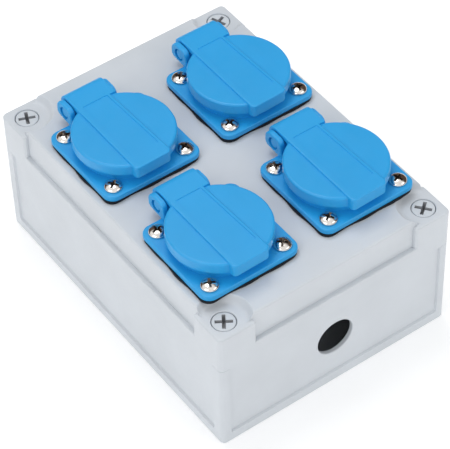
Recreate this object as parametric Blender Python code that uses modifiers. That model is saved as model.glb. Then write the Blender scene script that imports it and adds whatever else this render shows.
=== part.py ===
"""Socket junction box: a screwed two-part enclosure with four hinged-lid earthed sockets on its cover.

Frame: metres, +Z up, origin at the centre of the base's underside. X runs across the box and Y along it.
The cable entry is in the front wall, at -Y, and each socket lid is hinged at its rear edge, at +Y.
Each socket is drawn once, about its own axis with z = 0 on the cover's top face, and placed four times.
"""

import math

import bmesh
import bpy
from mathutils import Matrix, Vector

MM = 0.001
GAP = 0.3 * MM  # between pieces that rest on each other

# Enclosure: the overall sizes drive the rest.
BOX_WIDTH = 123.8 * MM
BOX_LENGTH = 168.5 * MM
COVER_TOP = 72.0 * MM
PAD_TOP = 68.7 * MM
LEDGE_TOP = 56.3 * MM
SEAM = 48.5 * MM
WALL = 3.0 * MM
CORNER_RADIUS = 2.5 * MM
LEDGE_DEPTH = 2.0 * MM
PAD_ARC_RADIUS = 10.8 * MM
COVER_SCREW_X = BOX_WIDTH / 2 - 8.5 * MM
COVER_SCREW_Y = BOX_LENGTH / 2 - 8.6 * MM
PAD_WALL = 1.5 * MM
COLUMN_RADIUS = 7.5 * MM
RIM_HEIGHT = 5.3 * MM
RIB_WIDTH = 4.5 * MM
PANEL_DEPTH = 0.8 * MM
SEAL_INSET = 0.8 * MM
SEAL_WIDTH = 1.4 * MM
SEAL_HEIGHT = 1.7 * MM
ENTRY_RADIUS = 9.5 * MM
ENTRY_HEIGHT = 27.5 * MM
FIXING_HOLE_RADIUS = 2.3 * MM
FIXING_X = 37.0 * MM
FIXING_Y = 76.0 * MM
STANDOFF_RADIUS = 3.5 * MM
STANDOFF_HEIGHT = 5.0 * MM
STANDOFF_X = 45.0 * MM
STANDOFF_Y = 50.0 * MM

# Cover screws: moulded, with a wide flush head in a counterbore.
COVER_SCREW_HEAD_RADIUS = 5.3 * MM
COVER_SCREW_HEAD_HEIGHT = 5.0 * MM
COVER_SCREW_SHANK_RADIUS = 3.0 * MM
COVER_SCREW_TIP = 30.0 * MM

# Layout of the four sockets on the cover.
SOCKET_PITCH_X = 62.5 * MM
SOCKET_PITCH_Y = 71.5 * MM
SOCKET_ROW_OFFSET_Y = -6.9 * MM

# Socket heights, above the cover's top face.
GASKET_BOTTOM = GAP
GASKET_TOP = 1.5 * MM
FLANGE_BOTTOM = 1.8 * MM
FLANGE_TOP = 4.0 * MM
COLLAR_TOP = 9.0 * MM
WELL_FLOOR = COLLAR_TOP - 17.5 * MM
WELL_FLOOR_THICKNESS = 2.5 * MM
TUBE_BOTTOM = -20.0 * MM

FLANGE_SIDE = 50.0 * MM
FLANGE_CORNER_RADIUS = 5.0 * MM
FLANGE_HOLE = 19.0 * MM  # from the socket's axis, along X and along Y
COLLAR_RADIUS = 21.4 * MM
TUBE_RADIUS = 21.2 * MM
WELL_RADIUS = 19.5 * MM
CUTOUT_RADIUS = TUBE_RADIUS + 0.5 * MM
PIN_PITCH = 19.0 * MM
PIN_HOLE_RADIUS = 2.6 * MM

# Flange screws: pan-head tapping screws.
SCREW_SHANK_RADIUS = 1.7 * MM
SCREW_HOLE_RADIUS = 2.2 * MM
SCREW_HEAD_RADIUS = 4.0 * MM
SCREW_HEAD_HEIGHT = 2.5 * MM
SCREW_LENGTH = 10.0 * MM

# Hinge, lid and spring.
HINGE_Y = 28.4 * MM
HINGE_Z = 8.5 * MM
HOOD_RADIUS = 5.8 * MM
HOOD_WALL = 1.4 * MM
HINGE_HALF_WIDTH = 10.2 * MM
KNUCKLE_RADIUS = 5.0 * MM
KNUCKLE_WIDTH = 3.0 * MM
EAR_TOP = 13.2 * MM
LEFT_EAR = (-14.2 * MM, -10.5 * MM)
RIGHT_EAR = (10.5 * MM, 11.9 * MM)
HINGE_PIN_RADIUS = 1.2 * MM
HINGE_BORE_RADIUS = 1.3 * MM
PIN_HEAD_RADIUS = 2.3 * MM
PIN_HEAD_HEIGHT = 0.8 * MM
PIN_RECESS = 1.2 * MM
LID_RADIUS = 23.5 * MM
LID_WALL = 1.6 * MM
LID_BOTTOM = 8.0 * MM
LID_CEILING = 11.7 * MM
LID_TOP = 13.5 * MM
BAND_TOP = 14.3 * MM
TAB_SIDES = (-10.2 * MM, 8.8 * MM)
TAB_FRONT = -24.8 * MM
TAB_DEPTH = 2.6 * MM
SPRING_WIRE_RADIUS = 0.35 * MM
SPRING_COIL_RADIUS = 2.6 * MM
SPRING_HALF_LENGTH = 4.0 * MM
SPRING_TURNS = 3.5

# Contacts and their carrier, inside the enclosure.
CARRIER_RADIUS = 19.1 * MM
CARRIER_TOP = WELL_FLOOR - WELL_FLOOR_THICKNESS - GAP
CARRIER_BOTTOM = -23.0 * MM
SLEEVE_RADIUS = 3.3 * MM
SLEEVE_BORE_RADIUS = 2.5 * MM
SLEEVE_BOTTOM = -27.0 * MM
TERMINAL_SIZE = (8.0 * MM, 9.0 * MM, 7.0 * MM)
EARTH_HALF_WIDTH = 4.0 * MM
EARTH_THICKNESS = 0.9 * MM
EARTH_REACH = 18.2 * MM
EARTH_SLOT_INNER = 15.6 * MM
EARTH_SLOT_HALF_WIDTH = 4.6 * MM

ROUND_STEPS = 24
SMALL_STEPS = 12
HOLE_STEPS = 6
CORNER_STEPS = 3

ALONG_X = Matrix(((0, 0, 1, 0), (1, 0, 0, 0), (0, 1, 0, 0), (0, 0, 0, 1)))  # outline in YZ, height along X
ALONG_Y = Matrix(((1, 0, 0, 0), (0, 0, 1, 0), (0, -1, 0, 0), (0, 0, 0, 1)))  # height along Y
LINKS = {}


def clear_scene():
    for obj in list(bpy.data.objects):
        bpy.data.objects.remove(obj)


def collection(name):
    made = bpy.data.collections.new(name)
    bpy.context.scene.collection.children.link(made)
    return made


def material(name, colour, roughness, metallic=0.0):
    made = bpy.data.materials.new(name)
    made.use_nodes = True
    shader = made.node_tree.nodes["Principled BSDF"]
    shader.inputs["Base Color"].default_value = (*colour, 1.0)
    shader.inputs["Roughness"].default_value = roughness
    shader.inputs["Metallic"].default_value = metallic
    return made


# Working shapes: each is an object in the workshop collection until it is finished.


def working(data):
    obj = bpy.data.objects.new("work", data)
    LINKS["workshop"].objects.link(obj)
    return obj


def from_bmesh(bm):
    mesh = bpy.data.meshes.new("work")
    bm.to_mesh(mesh)
    bm.free()
    return working(mesh)


def baked(obj):
    """The object's evaluated mesh, as new mesh data."""
    bpy.context.view_layer.update()
    graph = bpy.context.evaluated_depsgraph_get()
    return bpy.data.meshes.new_from_object(obj.evaluated_get(graph))


def welded(mesh):
    bm = bmesh.new()
    bm.from_mesh(mesh)
    bmesh.ops.remove_doubles(bm, verts=bm.verts, dist=0.001 * MM)
    bmesh.ops.recalc_face_normals(bm, faces=bm.faces)
    bm.to_mesh(mesh)
    bm.free()
    return mesh


def replaced(guide):
    """The guide's evaluated shape as a welded mesh object; the guide is removed."""
    mesh = welded(baked(guide))
    bpy.data.objects.remove(guide)
    return working(mesh)


def prism(outline, bottom, top, matrix=Matrix()):
    """A flat outline extruded from bottom to top along Z, before matrix turns it."""
    bm = bmesh.new()
    face = bm.faces.new([bm.verts.new((x, y, bottom)) for x, y in outline])
    raised = bmesh.ops.extrude_face_region(bm, geom=[face], use_keep_orig=True)
    moved = [item for item in raised["geom"] if isinstance(item, bmesh.types.BMVert)]
    bmesh.ops.translate(bm, vec=(0, 0, top - bottom), verts=moved)
    bmesh.ops.transform(bm, matrix=matrix, verts=bm.verts)
    bmesh.ops.recalc_face_normals(bm, faces=bm.faces)
    return from_bmesh(bm)


def box(low, high):
    low, high = Vector(low), Vector(high)
    bm = bmesh.new()
    size = Matrix.Diagonal((*(high - low), 1))
    bmesh.ops.create_cube(bm, size=1.0, matrix=Matrix.Translation((low + high) / 2) @ size)
    return from_bmesh(bm)


def cylinder(radius, bottom, top, x=0.0, y=0.0, steps=SMALL_STEPS, matrix=None):
    """A cylinder about the vertical line through (x, y), before matrix turns it."""
    place = Matrix.Translation((x, y, (bottom + top) / 2))
    bm = bmesh.new()
    bmesh.ops.create_cone(
        bm,
        cap_ends=True,
        segments=steps,
        radius1=radius,
        radius2=radius,
        depth=top - bottom,
        matrix=place if matrix is None else matrix @ place,
    )
    return from_bmesh(bm)


def turned(profile, steps):
    """A profile of (radius, height) points, listed from the top down its outer side, turned about Z."""
    bm = bmesh.new()
    points = [bm.verts.new((radius, 0, height)) for radius, height in profile]
    for first, second in zip(points, points[1:]):
        bm.edges.new((first, second))
    guide = from_bmesh(bm)
    screw = guide.modifiers.new("turn", "SCREW")
    screw.steps = steps
    screw.render_steps = steps
    screw.use_merge_vertices = True
    screw.merge_threshold = 0.001 * MM
    return replaced(guide)


def combined(base, others, operation):
    """base with the other shapes joined to it or cut from it; the others are used up."""
    for other in others:
        step = base.modifiers.new(operation.lower(), "BOOLEAN")
        step.operation = operation
        step.object = other
    mesh = baked(base)
    base.modifiers.clear()
    base.data = mesh
    for other in others:
        bpy.data.objects.remove(other)
    return base


def joined(base, *others):
    return combined(base, others, "UNION")


def cut(base, *others):
    return combined(base, others, "DIFFERENCE")


# Outlines: lists of (x, y), counterclockwise.


def arc(centre_x, centre_y, radius, start, end, steps):
    """Points on a circle from start to end, in degrees."""
    angles = [math.radians(start + (end - start) * i / steps) for i in range(steps + 1)]
    return [(centre_x + radius * math.cos(a), centre_y + radius * math.sin(a)) for a in angles]


def rounded_rectangle(width, length, radius):
    x, y = width / 2 - radius, length / 2 - radius
    corners = ((x, y, 0), (-x, y, 90), (-x, -y, 180), (x, -y, 270))
    return [p for cx, cy, start in corners for p in arc(cx, cy, radius, start, start + 90, CORNER_STEPS)]


def plus_outline(length, width):
    a, b = length / 2, width / 2
    quarter = [(a, b), (b, b), (b, a)]
    half = quarter + [(-b, a), (-b, b), (-a, b)]
    return half + [(-x, -y) for x, y in half]


def notched_rectangle(half_x, half_y, arc_radius):
    """A rectangle whose corners are cut back round the cover screws, with an arc about each screw."""
    quarter = [(half_x, COVER_SCREW_Y - arc_radius)]
    quarter += arc(COVER_SCREW_X, COVER_SCREW_Y, arc_radius, 270, 180, 2 * CORNER_STEPS)
    quarter += [(COVER_SCREW_X - arc_radius, half_y)]
    left = [(-x, y) for x, y in reversed(quarter)]
    return quarter + left + [(-x, -y) for x, y in quarter] + [(x, -y) for x, y in reversed(quarter)]


def four_corners(x, y):
    return [(sign_x * x, sign_y * y) for sign_x in (-1, 1) for sign_y in (-1, 1)]


# Enclosure.


def cavity_outline(grow=0.0):
    half_x, half_y = BOX_WIDTH / 2 - WALL + grow, BOX_LENGTH / 2 - WALL + grow
    return notched_rectangle(half_x, half_y, COLUMN_RADIUS - grow)


def panel_cutters():
    """The shallow field of each outer wall, between the corner ribs and above the bottom rim."""
    half_x, half_y = BOX_WIDTH / 2, BOX_LENGTH / 2
    beyond = 5 * MM
    cutters = []
    for side in (-1, 1):
        inner_x, outer_x = sorted((side * (half_x - PANEL_DEPTH), side * (half_x + beyond)))
        inner_y, outer_y = sorted((side * (half_y - PANEL_DEPTH), side * (half_y + beyond)))
        rib_x, rib_y = half_x - RIB_WIDTH, half_y - RIB_WIDTH
        cutters.append(box((inner_x, -rib_y, RIM_HEIGHT), (outer_x, rib_y, SEAM + beyond)))
        cutters.append(box((-rib_x, inner_y, RIM_HEIGHT), (rib_x, outer_y, SEAM + beyond)))
    return cutters


def enclosure_base():
    top = SEAM - GAP
    beyond = 5 * MM
    base = prism(rounded_rectangle(BOX_WIDTH, BOX_LENGTH, CORNER_RADIUS), 0, top)
    cut(base, prism(cavity_outline(), WALL, top + beyond), *panel_cutters())
    standoffs = [
        cylinder(STANDOFF_RADIUS, WALL - 1 * MM, WALL + STANDOFF_HEIGHT, x, y, HOLE_STEPS)
        for x, y in four_corners(STANDOFF_X, STANDOFF_Y)
    ]
    joined(base, *standoffs)
    hole_radius = COVER_SCREW_SHANK_RADIUS + GAP
    screw_holes = [
        cylinder(hole_radius, COVER_SCREW_TIP - 2 * MM, top + beyond, x, y)
        for x, y in four_corners(COVER_SCREW_X, COVER_SCREW_Y)
    ]
    fixing_holes = [
        cylinder(FIXING_HOLE_RADIUS, -beyond, WALL + beyond, x, y, HOLE_STEPS)
        for x, y in four_corners(FIXING_X, FIXING_Y)
    ]
    front = -BOX_LENGTH / 2
    inside = front + WALL + beyond
    entry = cylinder(ENTRY_RADIUS, front - beyond, inside, 0, -ENTRY_HEIGHT, ROUND_STEPS, ALONG_Y)
    return cut(base, *screw_holes, *fixing_holes, entry)


def ledge_cutters():
    """What is taken off each side of the cover, between its corner pads and above the ledge."""
    half_x, half_y = BOX_WIDTH / 2, BOX_LENGTH / 2
    beyond = 5 * MM
    top = PAD_TOP + beyond
    notch_x, notch_y = COVER_SCREW_X - PAD_ARC_RADIUS, COVER_SCREW_Y - PAD_ARC_RADIUS
    cutters = []
    for side in (-1, 1):
        x_low, x_high = sorted((side * (half_x - LEDGE_DEPTH), side * (half_x + beyond)))
        y_low, y_high = sorted((side * (half_y - LEDGE_DEPTH), side * (half_y + beyond)))
        cutters.append(box((x_low, -notch_y, LEDGE_TOP), (x_high, notch_y, top)))
        cutters.append(box((-notch_x, y_low, LEDGE_TOP), (notch_x, y_high, top)))
    return cutters


def socket_centres():
    """Name and (x, y) of each socket."""
    centres = {}
    for row, sign_y in (("back", 1), ("front", -1)):
        for side, sign_x in (("left", -1), ("right", 1)):
            y = SOCKET_ROW_OFFSET_Y + sign_y * SOCKET_PITCH_Y / 2
            centres[f"{row}_{side}"] = (sign_x * SOCKET_PITCH_X / 2, y)
    return centres


def enclosure_cover():
    half_x, half_y = BOX_WIDTH / 2 - LEDGE_DEPTH, BOX_LENGTH / 2 - LEDGE_DEPTH
    step_height = LEDGE_TOP - WALL
    beyond = 5 * MM
    cover = prism(rounded_rectangle(BOX_WIDTH, BOX_LENGTH, CORNER_RADIUS), SEAM, PAD_TOP)
    cut(cover, *ledge_cutters())
    joined(cover, prism(notched_rectangle(half_x, half_y, PAD_ARC_RADIUS), LEDGE_TOP + WALL, COVER_TOP))
    upper = notched_rectangle(half_x - WALL, half_y - WALL, PAD_ARC_RADIUS + PAD_WALL)
    upper_space = prism(upper, step_height - 1 * MM, COVER_TOP - WALL)
    cut(cover, upper_space, prism(cavity_outline(), SEAM - beyond, step_height))
    groove = cut(
        prism(cavity_outline(SEAL_INSET + SEAL_WIDTH + GAP), SEAM - beyond, SEAM + SEAL_HEIGHT + GAP),
        prism(cavity_outline(SEAL_INSET - GAP), SEAM - 2 * beyond, SEAM + 2 * beyond),
    )
    cut(cover, groove)
    holes = []
    for x, y in four_corners(COVER_SCREW_X, COVER_SCREW_Y):
        holes.append(cylinder(COVER_SCREW_SHANK_RADIUS + GAP, SEAM - beyond, PAD_TOP, x, y))
        counterbore = PAD_TOP - COVER_SCREW_HEAD_HEIGHT - 2 * GAP
        holes.append(cylinder(COVER_SCREW_HEAD_RADIUS + GAP, counterbore, PAD_TOP + beyond, x, y))
    for x, y in socket_centres().values():
        holes.append(cylinder(CUTOUT_RADIUS, LEDGE_TOP, COVER_TOP + beyond, x, y, ROUND_STEPS))
        for dx, dy in four_corners(FLANGE_HOLE, FLANGE_HOLE):
            low, high = COVER_TOP - WALL - beyond, COVER_TOP + beyond
            holes.append(cylinder(SCREW_HOLE_RADIUS, low, high, x + dx, y + dy, HOLE_STEPS))
    return cut(cover, *holes)


def cover_seal():
    outer = prism(cavity_outline(SEAL_INSET + SEAL_WIDTH), SEAM, SEAM + SEAL_HEIGHT)
    return cut(outer, prism(cavity_outline(SEAL_INSET), SEAM - 1 * MM, SEAM + 2 * SEAL_HEIGHT))


def cover_screw():
    """Its own z = 0 is the top of its head."""
    edge = 0.5 * MM
    shoulder = -COVER_SCREW_HEAD_HEIGHT
    tip = COVER_SCREW_TIP - PAD_TOP
    profile = [
        (0, 0),
        (COVER_SCREW_HEAD_RADIUS - edge, 0),
        (COVER_SCREW_HEAD_RADIUS, -edge),
        (COVER_SCREW_HEAD_RADIUS, shoulder),
        (COVER_SCREW_SHANK_RADIUS, shoulder),
        (COVER_SCREW_SHANK_RADIUS, tip + 1 * MM),
        (COVER_SCREW_SHANK_RADIUS / 2, tip),
        (0, tip),
    ]
    return cut(turned(profile, SMALL_STEPS), prism(plus_outline(7.6 * MM, 1.7 * MM), -2.5 * MM, 1 * MM))


# Socket pieces.


def flange_outline(side):
    return rounded_rectangle(side, side, FLANGE_CORNER_RADIUS)


def flange_holes(radius):
    beyond = 5 * MM
    return [
        cylinder(radius, GASKET_BOTTOM - beyond, FLANGE_TOP + beyond, x, y, HOLE_STEPS)
        for x, y in four_corners(FLANGE_HOLE, FLANGE_HOLE)
    ]


def flange_gasket():
    side = FLANGE_SIDE + 0.5 * MM
    hole = cylinder(CUTOUT_RADIUS, -1 * MM, FLANGE_TOP, steps=ROUND_STEPS)
    gasket = prism(flange_outline(side), GASKET_BOTTOM, GASKET_TOP)
    return cut(gasket, hole, *flange_holes(SCREW_HOLE_RADIUS))


def hinge_ear(span):
    """A rounded lug on the rear edge of the flange, with the hinge axis in its middle."""
    root = FLANGE_BOTTOM + 0.8 * MM
    front = HINGE_Y - 5.6 * MM
    back = HINGE_Y + 5.7 * MM
    outline = [(front - 2 * MM, root), (FLANGE_SIDE / 2 - 0.5 * MM, root)]
    outline += [(FLANGE_SIDE / 2 + 0.4 * MM, FLANGE_TOP)]
    outline += arc(back - 2.5 * MM, FLANGE_TOP + 2.9 * MM, 2.5 * MM, 270, 360, 3)
    outline += arc(back - 4.2 * MM, EAR_TOP - 4.2 * MM, 4.2 * MM, 0, 90, 4)
    outline += [(front + 3.2 * MM, EAR_TOP), (front + 0.9 * MM, EAR_TOP - 0.9 * MM)]
    outline += [(front, EAR_TOP - 3 * MM)]
    outline += [(front, FLANGE_TOP + 1.5 * MM), (front - 2 * MM, FLANGE_TOP + 0.3 * MM)]
    return prism(outline, *span, ALONG_X)


def across(radius, low, high, steps=SMALL_STEPS):
    """A cylinder on the hinge axis, from x = low to x = high."""
    return cylinder(radius, low, high, HINGE_Y, HINGE_Z, steps, ALONG_X)


def earth_slots(bottom, top, reach=EARTH_REACH + 0.4 * MM):
    slots = []
    for side in (-1, 1):
        low, high = sorted((side * EARTH_SLOT_INNER, side * reach))
        slots.append(box((-EARTH_SLOT_HALF_WIDTH, low, bottom), (EARTH_SLOT_HALF_WIDTH, high, top)))
    return slots


def socket_housing():
    """Flange, collar, plug well and hinge ears, in one moulding that is open at the back."""
    overlap = 0.5 * MM
    housing = turned(
        [
            (0, COLLAR_TOP),
            (COLLAR_RADIUS, COLLAR_TOP),
            (COLLAR_RADIUS, FLANGE_BOTTOM),
            (TUBE_RADIUS, FLANGE_BOTTOM),
            (TUBE_RADIUS, TUBE_BOTTOM),
            (0, TUBE_BOTTOM),
        ],
        ROUND_STEPS,
    )
    joined(housing, prism(flange_outline(FLANGE_SIDE), FLANGE_BOTTOM, FLANGE_TOP))
    joined(housing, hinge_ear(LEFT_EAR), hinge_ear(RIGHT_EAR))
    beyond = 5 * MM
    floor_bottom = WELL_FLOOR - WELL_FLOOR_THICKNESS
    well = cylinder(WELL_RADIUS, WELL_FLOOR, COLLAR_TOP + beyond, steps=ROUND_STEPS)
    rear = cylinder(WELL_RADIUS, TUBE_BOTTOM - beyond, floor_bottom, steps=ROUND_STEPS)
    pin_holes = [
        cylinder(PIN_HOLE_RADIUS, floor_bottom - overlap, WELL_FLOOR + overlap, x, 0, HOLE_STEPS)
        for x in (-PIN_PITCH / 2, PIN_PITCH / 2)
    ]
    cut(housing, well, rear)
    cut(housing, *pin_holes, *earth_slots(floor_bottom - overlap, WELL_FLOOR + overlap))
    cut(housing, *flange_holes(SCREW_HOLE_RADIUS))
    bore = across(HINGE_BORE_RADIUS, LEFT_EAR[0] - beyond, RIGHT_EAR[1] + beyond)
    recess = across(PIN_HEAD_RADIUS + GAP, LEFT_EAR[0] - beyond, LEFT_EAR[0] + PIN_RECESS + GAP)
    return cut(housing, bore, recess)


def contact_carrier():
    """The insulating block behind the well that holds the contacts."""
    carrier = cylinder(CARRIER_RADIUS, CARRIER_BOTTOM, CARRIER_TOP, steps=24)
    beyond = 5 * MM
    bores = [
        cylinder(SLEEVE_RADIUS + GAP, CARRIER_BOTTOM - beyond, CARRIER_TOP + beyond, x, 0, HOLE_STEPS)
        for x in (-PIN_PITCH / 2, PIN_PITCH / 2)
    ]
    notches = earth_slots(CARRIER_BOTTOM - beyond, CARRIER_TOP + beyond, CARRIER_RADIUS + beyond)
    return cut(carrier, *bores, *notches)


def contact_sleeve():
    """A spring sleeve for one plug pin, with its terminal block below; its axis is at x = 0."""
    size_x, size_y, size_z = TERMINAL_SIZE
    top = CARRIER_TOP - 1 * MM
    sleeve = cylinder(SLEEVE_RADIUS, SLEEVE_BOTTOM, top, steps=HOLE_STEPS)
    low = (-size_x / 2, -size_y / 2, SLEEVE_BOTTOM - size_z)
    joined(sleeve, box(low, (size_x / 2, size_y / 2, SLEEVE_BOTTOM + 0.5 * MM)))
    bore = cylinder(SLEEVE_BORE_RADIUS, SLEEVE_BOTTOM + 1.5 * MM, top + 1 * MM, steps=HOLE_STEPS)
    return cut(sleeve, bore)


def earth_strap():
    """A bent strip under the carrier, whose two ends rise along the well as the side contacts."""
    bridge = CARRIER_BOTTOM - GAP
    bulge_z = WELL_FLOOR + 9.0 * MM
    tip_z = WELL_FLOOR + 13.5 * MM
    rising = [(EARTH_REACH, WELL_FLOOR + 3 * MM), (EARTH_REACH - 2.3 * MM, bulge_z), (EARTH_REACH, tip_z)]
    outer = [(EARTH_REACH, bridge - EARTH_THICKNESS)] + rising
    inner = [(y - EARTH_THICKNESS, z) for y, z in reversed(rising)]
    inner += [(EARTH_REACH - EARTH_THICKNESS, bridge)]
    half = outer + inner
    outline = half + [(-y, z) for y, z in reversed(half)]
    return prism(outline, -EARTH_HALF_WIDTH, EARTH_HALF_WIDTH, ALONG_X)


def flange_screw():
    """Its own z = 0 is the underside of its head."""
    profile = [
        (0, SCREW_HEAD_HEIGHT),
        (SCREW_HEAD_RADIUS * 0.65, SCREW_HEAD_HEIGHT * 0.85),
        (SCREW_HEAD_RADIUS, 0),
        (SCREW_SHANK_RADIUS, 0),
        (SCREW_SHANK_RADIUS, 2 * MM - SCREW_LENGTH),
        (0, -SCREW_LENGTH),
    ]
    top = SCREW_HEAD_HEIGHT
    return cut(turned(profile, 8), prism(plus_outline(4.2 * MM, 1.0 * MM), top - 1.6 * MM, top + 1 * MM))


def hinge_pin():
    low = LEFT_EAR[0] + PIN_RECESS - PIN_HEAD_HEIGHT
    shank = across(HINGE_PIN_RADIUS, low + PIN_HEAD_HEIGHT / 2, RIGHT_EAR[1] - GAP)
    return joined(shank, across(PIN_HEAD_RADIUS, low, low + PIN_HEAD_HEIGHT))


def spring_route():
    """Points of the torsion spring: a stub under the hood, the coil on the pin, and the fixed leg."""
    steps_per_turn = 8
    count = round(SPRING_TURNS * steps_per_turn)
    start = math.radians(95)
    radius = SPRING_COIL_RADIUS
    stub = (-SPRING_HALF_LENGTH, HINGE_Y - radius, HINGE_Z + radius * 0.8)
    coil = []
    for i in range(count + 1):
        angle = start - 2 * math.pi * SPRING_TURNS * i / count
        x = SPRING_HALF_LENGTH * (2 * i / count - 1)
        coil.append((x, HINGE_Y + radius * math.cos(angle), HINGE_Z + radius * math.sin(angle)))
    leg = (SPRING_HALF_LENGTH, COLLAR_RADIUS + 1 * MM, FLANGE_TOP + 1 * MM)
    return [stub] + coil + [leg]


def lid_spring():
    curve = bpy.data.curves.new("spring", "CURVE")
    curve.dimensions = "3D"
    curve.bevel_depth = SPRING_WIRE_RADIUS
    curve.bevel_resolution = 0
    curve.use_fill_caps = True
    spline = curve.splines.new("POLY")
    route = spring_route()
    spline.points.add(len(route) - 1)
    for point, place in zip(spline.points, route):
        point.co = (*place, 1)
    return replaced(working(curve))


def lid_hood():
    """The half-round hood over the spring, open underneath and towards the socket."""
    inner = HOOD_RADIUS - HOOD_WALL
    outline = arc(HINGE_Y, HINGE_Z, HOOD_RADIUS, -10, 180, 10) + arc(HINGE_Y, HINGE_Z, inner, 180, -10, 10)
    return prism(outline, -HINGE_HALF_WIDTH, HINGE_HALF_WIDTH, ALONG_X)


def socket_lid():
    """A shallow round cap with a raised band that runs from the hinge to the finger tab."""
    edge = 1.2 * MM
    lid = turned(
        [
            (0, LID_TOP),
            (LID_RADIUS - edge, LID_TOP),
            (LID_RADIUS, LID_TOP - edge),
            (LID_RADIUS, LID_BOTTOM),
            (LID_RADIUS - LID_WALL, LID_BOTTOM),
            (LID_RADIUS - LID_WALL, LID_CEILING),
            (0, LID_CEILING),
        ],
        ROUND_STEPS,
    )
    neck_front = LID_RADIUS - 4 * MM
    overlap = 0.6 * MM
    left, right = TAB_SIDES
    half = HINGE_HALF_WIDTH
    band_outline = [(left, TAB_FRONT), (right, TAB_FRONT), (half, neck_front), (-half, neck_front)]
    band = prism(band_outline, LID_TOP - overlap, BAND_TOP)
    tab = box((left, TAB_FRONT, LID_BOTTOM), (right, TAB_FRONT + TAB_DEPTH, BAND_TOP))
    neck_outline = [(neck_front - overlap, LID_CEILING), (HINGE_Y - 3.6 * MM, LID_CEILING)]
    neck_outline += [(HINGE_Y, BAND_TOP - HOOD_WALL / 2), (HINGE_Y, BAND_TOP)]
    neck_outline += [(neck_front - overlap, BAND_TOP)]
    neck = prism(neck_outline, -half, half, ALONG_X)
    knuckles = []
    for side in (-1, 1):
        low, high = sorted((side * (half - KNUCKLE_WIDTH), side * half))
        knuckles.append(across(KNUCKLE_RADIUS, low, high, 16))
    joined(lid, band, tab)
    joined(lid, neck)
    joined(lid, lid_hood(), *knuckles)
    return cut(lid, across(HINGE_BORE_RADIUS, -half - 1 * MM, half + 1 * MM, SMALL_STEPS))


# Placing the pieces.


def finished(shape, name, look, origin=(0, 0, 0)):
    """The shape's mesh, with its own origin moved to the given point."""
    mesh = shape.data
    bpy.data.objects.remove(shape)
    mesh.name = name
    mesh.transform(Matrix.Translation(-Vector(origin)))
    mesh.materials.clear()
    mesh.materials.append(look)
    mesh.shade_smooth()
    mesh.set_sharp_from_angle(angle=math.radians(35))
    return mesh


def place(name, mesh, location, parent=None):
    obj = bpy.data.objects.new(name, mesh)
    LINKS["model"].objects.link(obj)
    obj.location = location
    obj.parent = parent
    return obj


def anchor(name, location, parent=None):
    empty = place(name, None, location, parent)
    empty.empty_display_size = 5 * MM
    return empty


def build_enclosure(looks):
    grey, rubber = looks["grey"], looks["rubber"]
    place("enclosure_base", finished(enclosure_base(), "enclosure_base", grey), (0, 0, 0))
    place("enclosure_cover", finished(enclosure_cover(), "enclosure_cover", grey), (0, 0, 0))
    place("cover_seal", finished(cover_seal(), "cover_seal", rubber), (0, 0, 0))
    screw = finished(cover_screw(), "cover_screw", looks["screw_grey"])
    for number, (x, y) in enumerate(four_corners(COVER_SCREW_X, COVER_SCREW_Y), 1):
        place(f"cover_screw_{number}", screw, (x, y, PAD_TOP - GAP))


def build_sockets(looks):
    hinge = (0, HINGE_Y, HINGE_Z)
    blue, steel, brass = looks["blue"], looks["steel"], looks["brass"]
    fixed = {
        "flange_gasket": finished(flange_gasket(), "flange_gasket", looks["rubber"]),
        "socket_housing": finished(socket_housing(), "socket_housing", blue),
        "contact_carrier": finished(contact_carrier(), "contact_carrier", looks["carrier"]),
        "earth_strap": finished(earth_strap(), "earth_strap", brass),
    }
    hinged = {
        "lid": finished(socket_lid(), "lid", blue, hinge),
        "hinge_pin": finished(hinge_pin(), "hinge_pin", blue, hinge),
        "lid_spring": finished(lid_spring(), "lid_spring", steel, hinge),
    }
    sleeve = finished(contact_sleeve(), "contact_sleeve", brass)
    screw = finished(flange_screw(), "flange_screw", steel)
    for position, (x, y) in socket_centres().items():
        socket = anchor(f"{position}_socket", (x, y, COVER_TOP))
        axis = anchor(f"{position}_hinge_axis", hinge, socket)
        for piece, mesh in fixed.items():
            place(f"{piece}_{position}", mesh, (0, 0, 0), socket)
        for piece, mesh in hinged.items():
            place(f"{piece}_{position}", mesh, (0, 0, 0), axis)
        for wire, side in (("line", -1), ("neutral", 1)):
            place(f"{wire}_contact_{position}", sleeve, (side * PIN_PITCH / 2, 0, 0), socket)
        for number, (dx, dy) in enumerate(four_corners(FLANGE_HOLE, FLANGE_HOLE), 1):
            place(f"flange_screw_{position}_{number}", screw, (dx, dy, FLANGE_TOP + GAP), socket)


def main():
    clear_scene()
    LINKS["model"] = collection("socket_junction_box")
    LINKS["workshop"] = collection("workshop")
    looks = {
        "grey": material("light_grey_plastic", (0.62, 0.65, 0.68), 0.45),
        "screw_grey": material("grey_screw_plastic", (0.60, 0.63, 0.66), 0.45),
        "blue": material("blue_plastic", (0.05, 0.37, 0.75), 0.35),
        "rubber": material("black_rubber", (0.02, 0.02, 0.02), 0.7),
        "steel": material("plated_steel", (0.75, 0.74, 0.72), 0.2, 1.0),
        "brass": material("brass", (0.78, 0.58, 0.25), 0.3, 1.0),
        "carrier": material("black_carrier_plastic", (0.03, 0.03, 0.035), 0.5),
    }
    build_enclosure(looks)
    build_sockets(looks)


main()
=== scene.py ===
"""Looks of the socket junction box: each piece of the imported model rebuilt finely, with materials, light and camera.

Sizes are in millimetres, in the model's own frame, and a finished piece is scaled to metres. A socket piece is
drawn once, about its socket's axis with z = 0 on the cover's top face, and placed four times.
"""

import math

import bmesh
import bpy
from mathutils import Matrix, Vector


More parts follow.
